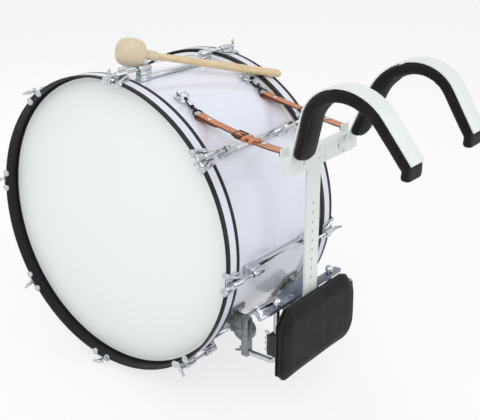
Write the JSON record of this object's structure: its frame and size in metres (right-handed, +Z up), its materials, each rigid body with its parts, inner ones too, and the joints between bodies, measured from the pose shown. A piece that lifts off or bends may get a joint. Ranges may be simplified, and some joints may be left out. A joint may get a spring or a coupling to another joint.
{
  "type": "marching bass drum",
  "caption": "White lacquered bass drum with black hoops and claw tension rods, on an over-the-shoulder carrier, with a felt mallet.",
  "frame": {"origin": "middle of the outline, at the level of the lowest claws", "axes": "+X along the drum to the wearer's right, +Y the way the wearer faces, +Z up along the carrier's spine"},
  "size_m": [0.3904, 1.0054, 0.7187],
  "materials": {
    "white_lacquer": "gloss white lacquer over plywood",
    "coated_head": "coated polyester film",
    "black_hoop": "gloss black lacquer over bent wood, with a white inlaid stripe and chromed claws",
    "chrome": "polished chrome plate",
    "white_paint": "satin white powder coat",
    "black_fabric": "foam in a black woven cover",
    "black_paint": "satin black paint",
    "black_plastic": "moulded black plastic",
    "grey_steel": "zinc plated steel",
    "grey_casting": "tumbled casting",
    "black_steel": "gloss black plated steel",
    "tan_leather": "burnished tan leather",
    "pale_wood": "clear-finished turned wood",
    "cream_felt": "wool felt"
  },
  "bodies": {
    "drum": {"shell": "white_lacquer", "left_head": "coated_head", "right_head": "coated_head", "left_hoop": "black_hoop", "right_hoop": "black_hoop", "lug_1": "chrome", "lug_2": "chrome", "lug_3": "chrome", "lug_4": "chrome", "lug_5": "chrome", "lug_6": "chrome", "lug_7": "chrome", "lug_8": "chrome", "left_drum_bracket": "grey_casting", "right_drum_bracket": "grey_casting", "left_leg_rod": "chrome", "right_leg_rod": "chrome", "lower_crossbar": "grey_steel", "left_strap_ring": "chrome", "right_strap_ring": "chrome", "left_snap_hook": "black_steel", "right_snap_hook": "black_steel", "left_strap": "tan_leather", "right_strap": "tan_leather"},
    "left_tension_rod_1": {"left_tension_rod_1": "chrome"},
    "left_tension_rod_2": {"left_tension_rod_2": "chrome"},
    "left_tension_rod_3": {"left_tension_rod_3": "chrome"},
    "left_tension_rod_4": {"left_tension_rod_4": "chrome"},
    "left_tension_rod_5": {"left_tension_rod_5": "chrome"},
    "left_tension_rod_6": {"left_tension_rod_6": "chrome"},
    "left_tension_rod_7": {"left_tension_rod_7": "chrome"},
    "left_tension_rod_8": {"left_tension_rod_8": "chrome"},
    "right_tension_rod_1": {"right_tension_rod_1": "chrome"},
    "right_tension_rod_2": {"right_tension_rod_2": "chrome"},
    "right_tension_rod_3": {"right_tension_rod_3": "chrome"},
    "right_tension_rod_4": {"right_tension_rod_4": "chrome"},
    "right_tension_rod_5": {"right_tension_rod_5": "chrome"},
    "right_tension_rod_6": {"right_tension_rod_6": "chrome"},
    "right_tension_rod_7": {"right_tension_rod_7": "chrome"},
    "right_tension_rod_8": {"right_tension_rod_8": "chrome"},
    "carrier": {"spine": "white_paint", "cross_plate": "white_paint"},
    "left_shoulder_bow": {"left_shoulder_plate": "white_paint", "left_shoulder_pad": "black_fabric"},
    "right_shoulder_bow": {"right_shoulder_plate": "white_paint", "right_shoulder_pad": "black_fabric"},
    "belly": {"belly_plate": "black_paint", "belly_pad": "black_fabric", "left_belly_clamp": "black_plastic", "right_belly_clamp": "black_plastic"},
    "left_clamp_wing_upper": {"left_clamp_wing_upper": "chrome"},
    "left_clamp_wing_lower": {"left_clamp_wing_lower": "chrome"},
    "left_leg_wing_nut": {"left_leg_wing_nut": "chrome"},
    "left_hook_gate": {"left_hook_gate": "chrome"},
    "right_clamp_wing_upper": {"right_clamp_wing_upper": "chrome"},
    "right_clamp_wing_lower": {"right_clamp_wing_lower": "chrome"},
    "right_leg_wing_nut": {"right_leg_wing_nut": "chrome"},
    "right_hook_gate": {"right_hook_gate": "chrome"},
    "mallet": {"mallet_handle": "pale_wood", "mallet_head": "cream_felt"}
  },
  "joints": [
    {"name": "left_tension_rod_1_turn", "type": "hinge", "parent": "drum", "child": "left_tension_rod_1", "pos_m": [-0.14, 0.48566, 0.37297], "axis": [1, 0, 0], "continuous": true},
    {"name": "left_tension_rod_2_turn", "type": "hinge", "parent": "drum", "child": "left_tension_rod_2", "pos_m": [-0.14, 0.36204, 0.59147], "axis": [1, 0, 0], "continuous": true},
    {"name": "left_tension_rod_3_turn", "type": "hinge", "parent": "drum", "child": "left_tension_rod_3", "pos_m": [-0.14, 0.12013, 0.65855], "axis": [1, 0, 0], "continuous": true},
    {"name": "left_tension_rod_4_turn", "type": "hinge", "parent": "drum", "child": "left_tension_rod_4", "pos_m": [-0.14, -0.09836, 0.53494], "axis": [1, 0, 0], "continuous": true},
    {"name": "left_tension_rod_5_turn", "type": "hinge", "parent": "drum", "child": "left_tension_rod_5", "pos_m": [-0.14, -0.16545, 0.29303], "axis": [1, 0, 0], "continuous": true},
    {"name": "left_tension_rod_6_turn", "type": "hinge", "parent": "drum", "child": "left_tension_rod_6", "pos_m": [-0.14, -0.04183, 0.07453], "axis": [1, 0, 0], "continuous": true},
    {"name": "left_tension_rod_7_turn", "type": "hinge", "parent": "drum", "child": "left_tension_rod_7", "pos_m": [-0.14, 0.20008, 0.00744], "axis": [1, 0, 0], "continuous": true},
    {"name": "left_tension_rod_8_turn", "type": "hinge", "parent": "drum", "child": "left_tension_rod_8", "pos_m": [-0.14, 0.41857, 0.13106], "axis": [1, 0, 0], "continuous": true},
    {"name": "right_tension_rod_1_turn", "type": "hinge", "parent": "drum", "child": "right_tension_rod_1", "pos_m": [0.14, 0.48566, 0.37297], "axis": [1, 0, 0], "continuous": true},
    {"name": "right_tension_rod_2_turn", "type": "hinge", "parent": "drum", "child": "right_tension_rod_2", "pos_m": [0.14, 0.36204, 0.59147], "axis": [1, 0, 0], "continuous": true},
    {"name": "right_tension_rod_3_turn", "type": "hinge", "parent": "drum", "child": "right_tension_rod_3", "pos_m": [0.14, 0.12013, 0.65855], "axis": [1, 0, 0], "continuous": true},
    {"name": "right_tension_rod_4_turn", "type": "hinge", "parent": "drum", "child": "right_tension_rod_4", "pos_m": [0.14, -0.09836, 0.53494], "axis": [1, 0, 0], "continuous": true},
    {"name": "right_tension_rod_5_turn", "type": "hinge", "parent": "drum", "child": "right_tension_rod_5", "pos_m": [0.14, -0.16545, 0.29303], "axis": [1, 0, 0], "continuous": true},
    {"name": "right_tension_rod_6_turn", "type": "hinge", "parent": "drum", "child": "right_tension_rod_6", "pos_m": [0.14, -0.04183, 0.07453], "axis": [1, 0, 0], "continuous": true},
    {"name": "right_tension_rod_7_turn", "type": "hinge", "parent": "drum", "child": "right_tension_rod_7", "pos_m": [0.14, 0.20008, 0.00744], "axis": [1, 0, 0], "continuous": true},
    {"name": "right_tension_rod_8_turn", "type": "hinge", "parent": "drum", "child": "right_tension_rod_8", "pos_m": [0.14, 0.41857, 0.13106], "axis": [1, 0, 0], "continuous": true},
    {"name": "spine_height", "type": "slide", "parent": "drum", "child": "carrier", "axis": [0, 0, 1], "range_m": [-0.02, 0.04], "deforming": ["left_strap", "right_strap"]},
    {"name": "left_bow_spacing", "type": "slide", "parent": "carrier", "child": "left_shoulder_bow", "axis": [1, 0, 0], "range_m": [-0.012, 0.012]},
    {"name": "right_bow_spacing", "type": "slide", "parent": "carrier", "child": "right_shoulder_bow", "axis": [1, 0, 0], "range_m": [-0.012, 0.012]},
    {"name": "belly_height", "type": "slide", "parent": "drum", "child": "belly", "axis": [0, 0, 1], "range_m": [-0.004, 0.05]},
    {"name": "left_clamp_wing_upper_turn", "type": "hinge", "parent": "belly", "child": "left_clamp_wing_upper", "pos_m": [-0.095, -0.19489, 0.16], "axis": [0, 1, 0], "continuous": true},
    {"name": "left_clamp_wing_lower_turn", "type": "hinge", "parent": "belly", "child": "left_clamp_wing_lower", "pos_m": [-0.095, -0.19489, 0.134], "axis": [0, 1, 0], "continuous": true},
    {"name": "left_leg_wing_nut_turn", "type": "hinge", "parent": "drum", "child": "left_leg_wing_nut", "pos_m": [-0.095, -0.12589, 0.106], "axis": [0, 1, 0], "continuous": true},
    {"name": "left_hook_gate_open", "type": "hinge", "parent": "drum", "child": "left_hook_gate", "pos_m": [-0.09554, -0.0013, 0.60381], "axis": [-0.8005, 0.369, -0.4723], "range_deg": [0, 20], "stiffness_Nm_per_rad": 0.002},
    {"name": "right_clamp_wing_upper_turn", "type": "hinge", "parent": "belly", "child": "right_clamp_wing_upper", "pos_m": [0.095, -0.19489, 0.16], "axis": [0, 1, 0], "continuous": true},
    {"name": "right_clamp_wing_lower_turn", "type": "hinge", "parent": "belly", "child": "right_clamp_wing_lower", "pos_m": [0.095, -0.19489, 0.134], "axis": [0, 1, 0], "continuous": true},
    {"name": "right_leg_wing_nut_turn", "type": "hinge", "parent": "drum", "child": "right_leg_wing_nut", "pos_m": [0.095, -0.12589, 0.106], "axis": [0, 1, 0], "continuous": true},
    {"name": "right_hook_gate_open", "type": "hinge", "parent": "drum", "child": "right_hook_gate", "pos_m": [0.12283, -0.00142, 0.60499], "axis": [-0.9965, 0.0518, -0.0663], "range_deg": [0, 20], "stiffness_Nm_per_rad": 0.002},
    {"name": "mallet_lift", "type": "slide", "parent": "drum", "child": "mallet", "axis": [0, 0, 1], "range_m": [0, 0.25]}
  ]
}
